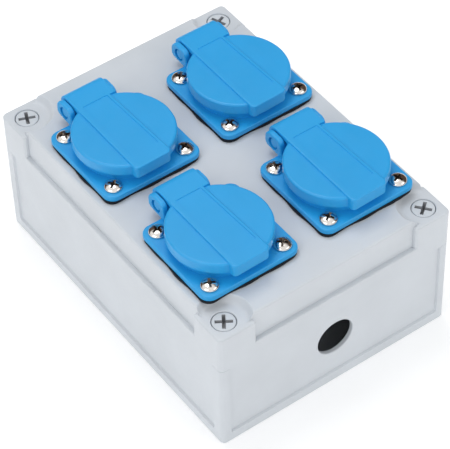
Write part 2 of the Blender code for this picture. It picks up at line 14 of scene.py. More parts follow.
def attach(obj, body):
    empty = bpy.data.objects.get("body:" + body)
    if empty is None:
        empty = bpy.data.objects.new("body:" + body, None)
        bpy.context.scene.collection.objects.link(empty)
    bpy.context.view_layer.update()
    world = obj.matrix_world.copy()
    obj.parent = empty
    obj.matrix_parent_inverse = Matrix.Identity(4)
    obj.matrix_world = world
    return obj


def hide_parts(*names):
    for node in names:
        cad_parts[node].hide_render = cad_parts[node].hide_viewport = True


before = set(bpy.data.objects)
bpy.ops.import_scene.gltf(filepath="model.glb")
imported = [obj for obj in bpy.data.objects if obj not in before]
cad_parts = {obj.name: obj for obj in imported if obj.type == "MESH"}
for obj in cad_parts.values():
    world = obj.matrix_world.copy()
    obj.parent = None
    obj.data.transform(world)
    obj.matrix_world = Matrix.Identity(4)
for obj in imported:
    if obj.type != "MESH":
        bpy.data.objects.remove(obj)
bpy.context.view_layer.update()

MM = 0.001

# Enclosure.
BOX_WIDTH = 123.8
BOX_LENGTH = 168.5
COVER_TOP = 72.0
PAD_TOP = 68.7
LEDGE_TOP = 56.3
SEAM = 48.5
BASE_TOP = 48.38
WALL = 3.0
CORNER_RADIUS = 2.5
LEDGE_DEPTH = 2.0
COVER_DRAFT = 0.3
PAD_ARC_RADIUS = 10.8
PAD_WALL = 1.5
PAD_CORNER = 1.5
BLOCK_NOTCH_RADIUS = 6.3
BOWL_FLOOR_RADIUS = 10.3
BOWL_RIM_RADIUS = 12.4
BOWL_REACH = 17
COLUMN_RADIUS = 7.5
COVER_SCREW_X = BOX_WIDTH / 2 - 8.5
COVER_SCREW_Y = BOX_LENGTH / 2 - 8.6
COVER_SCREW_TURNS = (56, 67, 38, 20)  # degrees, one for each screw
COVER_CROSS = (7.8, 1.65)  # length and width of the recess
SCREW_HOLE_RADIUS = 3.3
SEAL_GROOVE = (0.5, 2.5)  # reach of the groove's two sides past the cavity
SEAL_RING = (0.8, 2.2)
SEAL_HEIGHT = 1.7
GROOVE_DEPTH = 2
RIM_HEIGHT = 5.3
FRONT_RIB = 4.7
SIDE_RIB = 6.2
PANEL_DEPTH = 0.95
ENTRY_RADIUS = 9.5
ENTRY_HEIGHT = 27.5
POST_X, POST_Y = 45, 50
POST_RADIUS = 3.5
POST_TOP = 8
FIXING_X, FIXING_Y = 37, 76
FIXING_RADIUS = 2.3
CUT_ABOVE = 80  # higher than the cover
CUT_BELOW = 40  # lower than the cover
PAST = 5  # how far other cutters run past the surface

# Sockets.
SOCKET_X = 31.25
SOCKET_ROWS = {"back": 28.85, "front": -42.65}
FLANGE_SIDE = 50.0
FLANGE_CORNER = 5.0
FLANGE_CROSS = (5.4, 1.2)  # length and width of the screws' recess
FLANGE_SCREW_HOLE = 2.2
GASKET_SIDE = FLANGE_SIDE - 0.5
GASKET_BULGE = 1.1
GASKET_BOTTOM = 0.1
GASKET_TOP = 1.5
FLANGE_BOTTOM = 1.5
FLANGE_TOP = 4.0
FLANGE_HOLE = 19.0
COLLAR_TOP = 9.0
COLLAR_RADIUS = 21.4
TUBE_RADIUS = 21.2
TUBE_CLEARANCE = 0.5
TUBE_BOTTOM = -20.0
WELL_RADIUS = 19.5
WELL_FLOOR = -8.5
FLOOR_THICKNESS = 2.5
CARRIER_RADIUS = 19.1
CARRIER_TOP = WELL_FLOOR - FLOOR_THICKNESS - 0.3
CARRIER_BOTTOM = -23.0
SLEEVE_HOLE = 3.6
EARTH_OPENING_START = 15.6
EARTH_OPENING_HALF = 4.6
PIN_X = 9.5
WIRE_RADIUS = 1.45

# Lid and hinge.
HINGE_Y = 28.4
HINGE_Z = 8.5
HOOD_REACH = 7.0
HOOD_ROLL = 4.6
HOOD_INNER_RADIUS = 4.4
HINGE_HALF_WIDTH = 10.2
HINGE_BORE = 1.3
PIN_HEAD_BORE = 3.1
PIN_HEAD_DEPTH = 1.6
KNUCKLE_RADIUS = 5.0
KNUCKLE_WIDTH = 3.0
EAR_TOP = 13.2
LEFT_EAR = (-13.2, -10.5)
RIGHT_EAR = (10.5, 11.9)
LID_RADIUS = 23.5
LID_WALL = 1.6
LID_BOTTOM = 8.0
LID_CEILING = 11.7
LID_TOP = 13.5
BAND_TOP = 14.3

# Fineness of the meshes.
ROUND_STEPS = 96
HOLE_STEPS = 32
NOTCH_STEPS = 16
CORNER_STEPS = 8
EDGE_STEPS = 4
MERGE_DISTANCE = 0.002
SHARP_DEGREES = 38

# Stage, in metres and degrees.
FLOOR_REACH = 3.0
FLOOR_DROP = 0.1 * MM  # keeps the floor just clear of the box's underside
FLOOR_GLOW = 0.25
SKY_COLOUR = (0.98, 0.99, 1.0, 1)
SKY_STRENGTH = 0.62
SOFTBOX_DIRECTION = (-0.50, -0.30, 0.81)
MIRRORED_DARK = (0.30, (0.10, 0.065, 0.045, 1))  # position in the ramp, colour
MIRRORED_BRIGHT = (0.52, (1.0, 0.98, 0.96, 1))
LIT_POINT = (0, 0, 0.05)
LIGHTS = (  # name, azimuth, elevation, distance, size, watts
    ("key", -75, 38, 1.3, 0.7, 3.0),
    ("fill", 35, 35, 1.4, 0.8, 2.4),
    ("top", 170, 70, 1.3, 0.6, 4.2),
)
CAMERA_AZIMUTH, CAMERA_ELEVATION, CAMERA_ROLL = -34.68, 47.09, -1.83
CAMERA_PLACE = (-0.40414, -0.58572, 0.79344)
CAMERA_LENS = 183.66

ALONG_X = Matrix(((0, 0, 1, 0), (1, 0, 0, 0), (0, 1, 0, 0), (0, 0, 0, 1)))  # outline in YZ, height along X


# ---------------------------------------------------------------- outlines


def arc(centre_x, centre_y, radius, start, end, steps=EDGE_STEPS):
    """Points on a circle from start to end, in degrees."""
    angles = [math.radians(start + (end - start) * i / steps) for i in range(steps + 1)]
    return [(centre_x + radius * math.cos(a), centre_y + radius * math.sin(a)) for a in angles]


def rectangle(low_x, low_y, high_x, high_y):
    return [(low_x, low_y), (high_x, low_y), (high_x, high_y), (low_x, high_y)]


def rounded_rectangle(width, length, radius):
    x, y = width / 2 - radius, length / 2 - radius
    corners = ((x, y, 0), (-x, y, 90), (-x, -y, 180), (x, -y, 270))
    return [p for cx, cy, start in corners for p in arc(cx, cy, radius, start, start + 90, CORNER_STEPS)]


def notched_rectangle(half_x, half_y, arc_radius):
    """A rectangle whose corners are cut back round the cover screws, with an arc about each screw."""
    quarter = [(half_x, COVER_SCREW_Y - arc_radius)]
    quarter += arc(COVER_SCREW_X, COVER_SCREW_Y, arc_radius, 270, 180, NOTCH_STEPS)
    quarter += [(COVER_SCREW_X - arc_radius, half_y)]
    left = [(-x, y) for x, y in reversed(quarter)]
    return quarter + left + [(-x, -y) for x, y in quarter] + [(x, -y) for x, y in reversed(quarter)]


def plus_outline(length, width):
    a, b = length / 2, width / 2
    half = [(a, b), (b, b), (b, a), (-b, a), (-b, b), (-a, b)]
    return half + [(-x, -y) for x, y in half]


def filleted(points, radius, steps=EDGE_STEPS, closed=True):
    """The outline with its corners rounded; radius is one number, or one for each point."""
    count = len(points)
    radii = radius if isinstance(radius, (list, tuple)) else [radius] * count
    result = []
    for i, (point, corner) in enumerate(zip(points, radii)):
        at_end = not closed and i in (0, count - 1)
        if corner == 0 or at_end:
            result.append(tuple(point))
            continue
        here = Vector(point)
        back = (Vector(points[i - 1]) - here).normalized()
        ahead = (Vector(points[(i + 1) % count]) - here).normalized()
        half_angle = back.angle(ahead) / 2
        reach = corner / math.tan(half_angle)
        centre = here + (back + ahead).normalized() * (corner / math.sin(half_angle))
        first, last = here + back * reach - centre, here + ahead * reach - centre
        turn = first.angle_signed(last)
        for step in range(steps + 1):
            result.append(tuple(centre + Matrix.Rotation(-turn * step / steps, 2) @ first))
    return result


def inset(outline, distance):
    """A counterclockwise outline moved inwards by a distance."""
    count = len(outline)
    moved = []
    for i in range(count):
        before = (Vector(outline[i]) - Vector(outline[i - 1])).normalized()
        after = (Vector(outline[(i + 1) % count]) - Vector(outline[i])).normalized()
        normal = Vector((-before.y - after.y, before.x + after.x))
        moved.append(tuple(Vector(outline[i]) + normal * (2 * distance / normal.length_squared)))
    return moved


def four_corners(x, y):
    return [(sign_x * x, sign_y * y) for sign_x in (-1, 1) for sign_y in (-1, 1)]


# ---------------------------------------------------------------- solids

workshop = bpy.data.collections.new("workshop")
bpy.context.scene.collection.children.link(workshop)
looks = bpy.data.collections.new("looks")
bpy.context.scene.collection.children.link(looks)


def from_bmesh(bm):
    mesh = bpy.data.meshes.new("work")
    bm.to_mesh(mesh)
    bm.free()
    obj = bpy.data.objects.new("work", mesh)
    workshop.objects.link(obj)
    return obj


def loft(rings, matrix=Matrix()):
    """A closed solid through rings of equally many points, with flat ends."""
    bm = bmesh.new()
    loops = [[bm.verts.new(point) for point in ring] for ring in rings]
    count = len(loops[0])
    for lower, upper in zip(loops, loops[1:]):
        for i in range(count):
            j = (i + 1) % count
            bm.faces.new((lower[i], lower[j], upper[j], upper[i]))
    bm.faces.new(reversed(loops[0]))
    bm.faces.new(loops[-1])
    bmesh.ops.transform(bm, matrix=matrix, verts=bm.verts)
    bmesh.ops.recalc_face_normals(bm, faces=bm.faces)
    return from_bmesh(bm)


def slab(outline, bottom, top, top_edge=0.0, bottom_edge=0.0, draft=0.0, matrix=Matrix()):
    """An extruded outline with rounded top and bottom edges; draft is how far its sides lean in."""
    levels = []
    if bottom_edge:
        for step in range(EDGE_STEPS):
            angle = math.pi / 2 * step / EDGE_STEPS
            levels.append((bottom_edge * (1 - math.sin(angle)), bottom + bottom_edge * (1 - math.cos(angle))))
    levels.append((0, bottom + bottom_edge))
    levels.append((0, top - top_edge))
    if top_edge:
        for step in range(1, EDGE_STEPS + 1):
            angle = math.pi / 2 * step / EDGE_STEPS
            levels.append((top_edge * (1 - math.cos(angle)), top - top_edge * (1 - math.sin(angle))))
    rings = []
    for distance, z in levels:
        lean = draft * (z - bottom) / (top - bottom)
        rings.append([(x, y, z) for x, y in inset(outline, distance + lean)])
    return loft(rings, matrix)


def cylinder(radius, bottom, top, x=0.0, y=0.0, steps=HOLE_STEPS, matrix=Matrix(), edge=0.0):
    outline = [(px + x, py + y) for px, py in arc(0, 0, radius, 0, 360 * (steps - 1) / steps, steps - 1)]
    return slab(outline, bottom, top, edge, edge, matrix=matrix)


def turned(profile, steps=ROUND_STEPS, matrix=Matrix()):
    """A profile of (radius, height) points turned about Z."""
    bm = bmesh.new()
    points = [bm.verts.new((radius, 0, height)) for radius, height in profile]
    edges = [bm.edges.new(pair) for pair in zip(points, points[1:])]
    bmesh.ops.spin(
        bm, geom=points + edges, cent=(0, 0, 0), axis=(0, 0, 1), angle=2 * math.pi, steps=steps, use_merge=True
    )
    bmesh.ops.remove_doubles(bm, verts=bm.verts, dist=MERGE_DISTANCE)
    bmesh.ops.transform(bm, matrix=matrix, verts=bm.verts)
    bmesh.ops.recalc_face_normals(bm, faces=bm.faces)
    return from_bmesh(bm)


def combined(base, others, operation):
    """base with the other shapes joined to it or cut from it; the others are used up."""
    for other in others:
        step = base.modifiers.new(operation.lower(), "BOOLEAN")
        step.solver = "MANIFOLD"
        step.operation = operation
        step.object = other
    bpy.context.view_layer.update()
    graph = bpy.context.evaluated_depsgraph_get()
    mesh = bpy.data.meshes.new_from_object(base.evaluated_get(graph))
    base.modifiers.clear()
    base.data = mesh
    for other in others:
        bpy.data.objects.remove(other)
    return base


def joined(base, *others):
    return combined(base, others, "UNION")


def cut(base, *others):
    return combined(base, others, "DIFFERENCE")


def tube(points, radius):
    """A smooth wire through the points, as a mesh."""
    curve = bpy.data.curves.new("wire", "CURVE")
    curve.dimensions = "3D"
    curve.bevel_depth = radius
    curve.bevel_resolution = 3
    curve.use_fill_caps = True
    spline = curve.splines.new("POLY")
    spline.points.add(len(points) - 1)
    for target, point in zip(spline.points, points):
        target.co = (*point, 1)
    guide = bpy.data.objects.new("wire", curve)
    workshop.objects.link(guide)
    bpy.context.view_layer.update()
    graph = bpy.context.evaluated_depsgraph_get()
    mesh = bpy.data.meshes.new_from_object(guide.evaluated_get(graph))
    bpy.data.objects.remove(guide)
    bm = bmesh.new()
    bm.from_mesh(mesh)
    bmesh.ops.remove_doubles(bm, verts=bm.verts, dist=MERGE_DISTANCE)
    return from_bmesh(bm)


# ---------------------------------------------------------------- materials


class Nodes:
    """A material's node tree, with short ways to add a node and to link it."""

    def __init__(self, name):
        self.material = bpy.data.materials.new(name)
        self.material.use_nodes = True
        self.tree = self.material.node_tree
        self.shader = self.tree.nodes["Principled BSDF"]
        self.place = self.tree.nodes.new("ShaderNodeTexCoord").outputs["Object"]

    def link(self, output, target):
        self.tree.links.new(output, target)

    def noise(self, scale, detail=2.0, roughness=0.5):
        node = self.tree.nodes.new("ShaderNodeTexNoise")
        node.inputs["Scale"].default_value = scale
        node.inputs["Detail"].default_value = detail
        node.inputs["Roughness"].default_value = roughness
        self.link(self.place, node.inputs["Vector"])
        return node.outputs["Fac"]

    def ranged(self, value, low, high, start=0.3, end=0.7):
        node = self.tree.nodes.new("ShaderNodeMapRange")
        node.inputs["From Min"].default_value = start
        node.inputs["From Max"].default_value = end
        node.inputs["To Min"].default_value = low
        node.inputs["To Max"].default_value = high
        self.link(value, node.inputs["Value"])
        return node.outputs["Result"]

    def blend(self, fac, first, second):
        node = self.tree.nodes.new("ShaderNodeMix")
        node.data_type = "RGBA"
        for socket, value in (("A_Color", first), ("B_Color", second)):
            target = next(s for s in node.inputs if s.identifier == socket)
            if isinstance(value, tuple):
                target.default_value = (*value, 1)
            else:
                self.link(value, target)
        self.link(fac, next(s for s in node.inputs if s.identifier == "Factor_Float"))
        return next(s for s in node.outputs if s.identifier == "Result_Color")

    def bump(self, height, strength, distance, under=None):
        node = self.tree.nodes.new("ShaderNodeBump")
        node.inputs["Strength"].default_value = strength
        node.inputs["Distance"].default_value = distance
        self.link(height, node.inputs["Height"])
        if under is not None:
            self.link(under, node.inputs["Normal"])
        return node.outputs["Normal"]


def scaled(colour, factor):
    return tuple(min(1.0, c * factor) for c in colour)


def plastic(name, colour, roughness, grain=0.12, waviness=0.05):
    """Moulded plastic: a fine eroded grain, a slow waviness from the mould, and a faint mottle."""
    mottle = 0.03
    nodes = Nodes(name)
    tone = nodes.ranged(nodes.noise(45, 3), 0, 1)
    mottled = nodes.blend(tone, scaled(colour, 1 - mottle), scaled(colour, 1 + mottle))
    nodes.link(mottled, nodes.shader.inputs["Base Color"])
    gloss = nodes.ranged(nodes.noise(260, 4, 0.6), roughness - 0.05, roughness + 0.05)
    nodes.link(gloss, nodes.shader.inputs["Roughness"])
    wave = nodes.bump(nodes.noise(70, 1), waviness, 0.4 * MM)
    fine = nodes.bump(nodes.noise(3600, 2, 0.6), grain, 0.04 * MM, wave)
    nodes.link(fine, nodes.shader.inputs["Normal"])
    nodes.shader.inputs["IOR"].default_value = 1.5
    return nodes.material


def rubber(name, colour):
    nodes = Nodes(name)
    dust = nodes.ranged(nodes.noise(900, 4, 0.7), 0, 1, 0.45, 0.75)
    nodes.link(nodes.blend(dust, colour, scaled(colour, 2.2)), nodes.shader.inputs["Base Color"])
    nodes.link(nodes.ranged(nodes.noise(300, 3), 0.55, 0.75), nodes.shader.inputs["Roughness"])
    nodes.link(nodes.bump(nodes.noise(1500, 3), 0.25, 0.08 * MM), nodes.shader.inputs["Normal"])
    nodes.shader.inputs["Specular IOR Level"].default_value = 0.2
    return nodes.material


def metal(name, colour, roughness, tarnish):
    """Plated or plain metal, with smudges in its gloss and a little tarnish in its colour."""
    scratch = 0.06
    nodes = Nodes(name)
    nodes.shader.inputs["Metallic"].default_value = 1.0
    smudge = nodes.ranged(nodes.noise(420, 4, 0.65), 0, 1, 0.35, 0.75)
    nodes.link(nodes.blend(smudge, colour, scaled(colour, tarnish)), nodes.shader.inputs["Base Color"])
    gloss = nodes.ranged(nodes.noise(700, 3), roughness * 0.7, roughness * 1.4)
    nodes.link(gloss, nodes.shader.inputs["Roughness"])
    nodes.link(nodes.bump(nodes.noise(1400, 4, 0.7), scratch, 0.05 * MM), nodes.shader.inputs["Normal"])
    return nodes.material


GREY = plastic("light_grey_plastic", (0.63, 0.665, 0.705), 0.38, grain=0.06)
SCREW_GREY = plastic("grey_screw_plastic", (0.61, 0.65, 0.69), 0.42)
BLUE = plastic("blue_plastic", (0.016, 0.362, 0.77), 0.37, grain=0.02, waviness=0.02)
GASKET_BLACK = rubber("black_rubber", (0.007, 0.009, 0.014))
CARRIER_BLACK = plastic("black_carrier_plastic", (0.02, 0.02, 0.023), 0.5)
STEEL = metal("plated_steel", (0.82, 0.79, 0.76), 0.13, 0.75)
# Dark steel for the flange screws' cross recess: painted shade, for the shadow that falls inside the recess.
PAINTED_SHADE_STEEL = metal("steel_with_painted_recess_shade", (0.20, 0.17, 0.15), 0.4, 0.7)
# Darker grey for the cover screws' cross recess: painted shade, for the shadow that falls inside the recess.
PAINTED_SHADE_GREY = plastic("grey_plastic_with_painted_recess_shade", (0.42, 0.43, 0.45), 0.5)
BRASS = metal("brass", (0.80, 0.58, 0.26), 0.28, 0.7)
WIRE_COLOURS = {
    "line": plastic("brown_wire", (0.16, 0.06, 0.03), 0.4),
    "neutral": plastic("blue_wire", (0.03, 0.12, 0.45), 0.4),
    "earth": plastic("green_wire", (0.12, 0.42, 0.05), 0.4),
}


# ---------------------------------------------------------------- pieces


def piece(name, shape, material, body, replaced=(), location=(0, 0, 0), turn=0.0):
    """A finished piece that rides on a body and stands for the CAD nodes named."""
    mesh = shape if isinstance(shape, bpy.types.Mesh) else finished(shape, name)
    obj = bpy.data.objects.new(name, mesh)
    looks.objects.link(obj)
    if not mesh.materials:
        mesh.materials.append(material)
    obj.location = Vector(location) * MM
    obj.rotation_euler.z = math.radians(turn)
    weighted = obj.modifiers.new("weighted_normals", "WEIGHTED_NORMAL")
    weighted.keep_sharp = True
    weighted.weight = 60
    bpy.context.view_layer.update()
    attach(obj, body)
    if replaced:
        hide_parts(*replaced)
    return obj


def finished(shape, name):
    """The shape's mesh, cleaned, scaled to metres and shaded smooth up to its sharp edges."""
    mesh = shape.data
    bpy.data.objects.remove(shape)
    mesh.name = name
    mesh.materials.clear()
    bm = bmesh.new()
    bm.from_mesh(mesh)
    bmesh.ops.triangulate(bm, faces=[face for face in bm.faces if len(face.verts) > 4])
    bmesh.ops.remove_doubles(bm, verts=bm.verts, dist=MERGE_DISTANCE)
    bmesh.ops.dissolve_degenerate(bm, edges=bm.edges, dist=MERGE_DISTANCE / 2)
    bmesh.ops.recalc_face_normals(bm, faces=bm.faces)
    bmesh.ops.scale(bm, vec=(MM, MM, MM), verts=bm.verts)
    bm.to_mesh(mesh)
    bm.free()
    mesh.shade_smooth()
    mesh.set_sharp_from_angle(angle=math.radians(SHARP_DEGREES))
    return mesh


def with_painted_recess_shade(mesh, length, width, bottom, main, recess):
    """The screw's mesh with a second, darker material on the faces inside its cross recess: painted shade for the
    shadow that falls there.
    """
    mesh.materials.append(main)
    mesh.materials.append(recess)
    for face in mesh.polygons:
        x, y, z = face.center / MM
        across, along = sorted((abs(x), abs(y)))
        # faces inside the recess get the painted shade material
        if z > bottom and along < length / 2 and across < width / 2:
            face.material_index = 1
    return mesh


# ---------------------------------------------------------------- enclosure


def cavity_outline(grow=0.0):
    """The inside of the walls and screw columns, or an outline that lies outside it by a distance."""
    half_x, half_y = BOX_WIDTH / 2 - WALL + grow, BOX_LENGTH / 2 - WALL + grow
    return notched_rectangle(half_x, half_y, COLUMN_RADIUS - grow)


def panel_rings(width, bottom, top):
    """The shallow field of one wall, drawn flat with its depth along -Z and its edges sloping in."""
    beyond = 4
    slope = 0.45
    corner = 1.2
    outline = filleted(rectangle(-width / 2, bottom, width / 2, top), corner, 5)
    levels = ((0, beyond), (0, 0), (0.06, -0.15), (slope * 0.75, -0.7), (slope, -PANEL_DEPTH))
    return [[(x, y, z) for x, y in inset(outline, distance)] for distance, z in levels]


def wall_panels():
    """The four panel cutters, each turned to face its wall."""
    half_x, half_y = BOX_WIDTH / 2, BOX_LENGTH / 2
    upright = Matrix.Rotation(math.pi / 2, 4, "X")
    cutters = []
    for angle, reach, width in (
        (0, half_y, BOX_WIDTH - 2 * FRONT_RIB),
        (180, half_y, BOX_WIDTH - 2 * FRONT_RIB),
        (90, half_x, BOX_LENGTH - 2 * SIDE_RIB),
        (270, half_x, BOX_LENGTH - 2 * SIDE_RIB),
    ):
        place = Matrix.Rotation(math.radians(angle), 4, "Z") @ Matrix.Translation((0, -reach, 0)) @ upright
        cutters.append(loft(panel_rings(width, RIM_HEIGHT, SEAM + 6), place))
    return cutters


def base_piece():
    """An open tray with sunk wall fields, screw columns, inner posts, fixing holes and the cable entry."""
    outline = rounded_rectangle(BOX_WIDTH, BOX_LENGTH, CORNER_RADIUS)
    base = slab(outline, 0, BASE_TOP, top_edge=0.12, bottom_edge=0.5)
    cut(base, slab(cavity_outline(), WALL, BASE_TOP + PAST, bottom_edge=1.0))
    cut(base, *wall_panels())
    for x, y in four_corners(POST_X, POST_Y):
        joined(base, cylinder(POST_RADIUS, WALL - 1, POST_TOP, x, y))
    hole_bottom = 28
    holes = [
        cylinder(SCREW_HOLE_RADIUS, hole_bottom, BASE_TOP + PAST, x, y)
        for x, y in four_corners(COVER_SCREW_X, COVER_SCREW_Y)
    ]
    holes += [cylinder(FIXING_RADIUS, -PAST, WALL + PAST, x, y) for x, y in four_corners(FIXING_X, FIXING_Y)]
    edge, inside, outside = 0.3, 8, -3
    entry_profile = [(0, inside), (ENTRY_RADIUS, inside), (ENTRY_RADIUS, PANEL_DEPTH + edge)]
    entry_profile += [(ENTRY_RADIUS + edge, PANEL_DEPTH), (ENTRY_RADIUS + edge, outside), (0, outside)]
    inwards = Matrix.Translation((0, -BOX_LENGTH / 2, ENTRY_HEIGHT)) @ Matrix.Rotation(-math.pi / 2, 4, "X")
    return cut(base, *holes, turned(entry_profile, 72, inwards))


def pad_outline():
    """The corner pad at +X +Y, counterclockwise; its inner side is hidden in the raised block."""
    x, y = BOX_WIDTH / 2, BOX_LENGTH / 2
    low_x, low_y = COVER_SCREW_X - PAD_ARC_RADIUS, COVER_SCREW_Y - PAD_ARC_RADIUS
    return filleted([(x, low_y), (x, y), (low_x, y), (low_x, low_y)], [PAD_CORNER, CORNER_RADIUS, PAD_CORNER, 0], 8)


def corner_bowls():
    """Dished cutters about the cover screws, so the block slopes down to each corner pad in a soft curve."""
    bottom, rim = PAD_TOP + 0.02, COVER_TOP + 0.02
    profile = [(0, bottom), (BOWL_FLOOR_RADIUS, bottom), (BOWL_RIM_RADIUS, rim), (BOWL_REACH, COVER_TOP + 0.03)]
    profile += [(BOWL_REACH, CUT_ABOVE), (0, CUT_ABOVE)]
    outline = filleted(profile, [0, 2.4, 1.0, 0, 0, 0], 8, closed=False)
    places = four_corners(COVER_SCREW_X, COVER_SCREW_Y)
    return [turned(outline, matrix=Matrix.Translation((x, y, 0))) for x, y in places]


def cover_screw_holes():
    """Cutters for the cover screws: a broken edge, the head's bore down to its seat, and the shank's hole."""
    mouth, bore, seat = 5.85, 5.55, 63.1
    profile = [(0, CUT_ABOVE), (mouth, CUT_ABOVE), (mouth, PAD_TOP + 0.02), (bore, PAD_TOP - 0.35), (bore, seat)]
    profile += [(SCREW_HOLE_RADIUS, seat), (SCREW_HOLE_RADIUS, CUT_BELOW), (0, CUT_BELOW)]
    places = four_corners(COVER_SCREW_X, COVER_SCREW_Y)
    return [turned(profile, 48, Matrix.Translation((x, y, 0))) for x, y in places]


def cover_piece():
    """A skirt with a ledge, the raised block, a dished pad at each corner, and every hole through it."""
    half_x, half_y = BOX_WIDTH / 2 - LEDGE_DEPTH, BOX_LENGTH / 2 - LEDGE_DEPTH
    skirt = rounded_rectangle(BOX_WIDTH, BOX_LENGTH, CORNER_RADIUS)
    cover = slab(skirt, SEAM, LEDGE_TOP, top_edge=0.7, bottom_edge=0.12)
    pads = []
    for sign_x, sign_y in four_corners(1, 1):
        outline = [(sign_x * x, sign_y * y) for x, y in pad_outline()]
        if sign_x * sign_y < 0:
            outline.reverse()
        pads.append(slab(outline, SEAM + 2, PAD_TOP, top_edge=0.9))
    block_outline = notched_rectangle(half_x, half_y, BLOCK_NOTCH_RADIUS)
    block = slab(block_outline, SEAM + 2.5, COVER_TOP, top_edge=1.0, draft=COVER_DRAFT)
    joined(cover, *pads)
    joined(cover, block)
    cut(cover, *corner_bowls())
    upper = notched_rectangle(half_x - WALL, half_y - WALL, PAD_ARC_RADIUS + PAD_WALL)
    step_height = LEDGE_TOP - WALL
    cut(cover, slab(upper, step_height - 1, COVER_TOP - WALL, 1), slab(cavity_outline(), CUT_BELOW, step_height))
    inner, outer = SEAL_GROOVE
    groove_top = SEAM + GROOVE_DEPTH
    groove = slab(cavity_outline(outer), CUT_BELOW, groove_top)
    cut(cover, cut(groove, slab(cavity_outline(inner), CUT_BELOW - 2, groove_top + 2)))
    holes = cover_screw_holes()
    under_top = 60
    for x, y in socket_places().values():
        holes.append(cylinder(TUBE_RADIUS + TUBE_CLEARANCE, under_top, CUT_ABOVE, x, y, 64))
        for dx, dy in four_corners(FLANGE_HOLE, FLANGE_HOLE):
            holes.append(cylinder(FLANGE_SCREW_HOLE, under_top, CUT_ABOVE, x + dx, y + dy, 16))
    return cut(cover, *holes)


def seal_piece():
    """A square cord that follows the cavity's outline in the cover's groove."""
    inner, outer = SEAL_RING
    ring = slab(cavity_outline(outer), SEAM, SEAM + SEAL_HEIGHT, 0.3, 0.3)
    return cut(ring, slab(cavity_outline(inner), SEAM - 1, SEAM + 4))


def tapered_plus(length, width, foot_length, foot_width, bottom, top):
    """A cross recess whose arms narrow towards the bottom."""
    upper, lower = plus_outline(length, width), plus_outline(foot_length, foot_width)
    return loft([[(x, y, bottom) for x, y in lower], [(x, y, top) for x, y in upper]])


def cover_screw_piece():
    """A wide flat head with a softened edge; its own z = 0 is the head's top."""
    head, shank, tip = 5.25, 3.0, 1.5
    under_head, taper, end = -5, -37, -38.7
    profile = [(0, 0), (head, 0), (head, under_head), (shank, under_head), (shank, taper), (tip, end), (0, end)]
    screw = turned(filleted(profile, [0, 0.5, 0.2, 0, 0.4, 0.4, 0], closed=False), 64)
    return cut(screw, tapered_plus(*COVER_CROSS, 6.8, 1.2, -4.4, 0.25))


def socket_places():
    """The (x, y) of each socket, by name."""
    sides = (("left", -SOCKET_X), ("right", SOCKET_X))
    return {f"{row}_{side}": (x, y) for row, y in SOCKET_ROWS.items() for side, x in sides}


# ---------------------------------------------------------------- socket pieces


def wavy(outline, height):
    """The outline pushed out unevenly, as a compressed gasket bulges."""
    result = []
    for x, y in outline:
        angle = math.atan2(y, x)
        push = height * (0.5 + 0.5 * math.sin(3 * angle + 1.1) * math.sin(7 * angle + 0.4))
        growth = 1 + push / (FLANGE_SIDE / 2)
        result.append((x * growth, y * growth))
    return result


def divided(outline, parts):
    """The outline with each long side divided."""
    result = []
    for i, point in enumerate(outline):
        here, following = Vector(point), Vector(outline[(i + 1) % len(outline)])
        count = parts if (following - here).length > 5 else 1
        result += [tuple(here.lerp(following, k / count)) for k in range(count)]
    return result


def gasket_piece():
    outline = wavy(divided(rounded_rectangle(GASKET_SIDE, GASKET_SIDE, FLANGE_CORNER), 14), GASKET_BULGE)
    gasket = slab(outline, GASKET_BOTTOM, GASKET_TOP - 0.02, 0.3, 0.3)
    return cut(gasket, cylinder(TUBE_RADIUS + TUBE_CLEARANCE, -2, PAST, steps=64))


def ear_outline():
    """Side view of a hinge ear, as (y, z), counterclockwise."""
    root = FLANGE_BOTTOM + 0.8
    front = HINGE_Y - 5.6
    back = HINGE_Y + 6.0
    foot_roll, back_roll, front_roll = 2.6, 4.4, 3.4
    outline = [(front - 2, root), (FLANGE_SIDE / 2 - 0.6, root), (FLANGE_SIDE / 2 + 0.5, FLANGE_TOP)]
    outline += arc(back - foot_roll, FLANGE_TOP + 3.0, foot_roll, 275, 360, 6)
    outline += arc(back - back_roll, EAR_TOP - back_roll, back_roll, 0, 90, 10)
    outline += arc(front + front_roll, EAR_TOP - front_roll, front_roll, 95, 175, 8)
    outline += [(front - 0.3, FLANGE_TOP + 2), (front - 2, FLANGE_TOP + 0.3)]
    return outline


def earth_openings(reach, bottom, top):
    """Cutters that let the two side contacts through, out to a distance from the socket's axis."""
    cutters = []
    for side in (-1, 1):
        low, high = sorted((side * EARTH_OPENING_START, side * reach))
        cutters.append(slab(rectangle(-EARTH_OPENING_HALF, low, EARTH_OPENING_HALF, high), bottom, top))
    return cutters


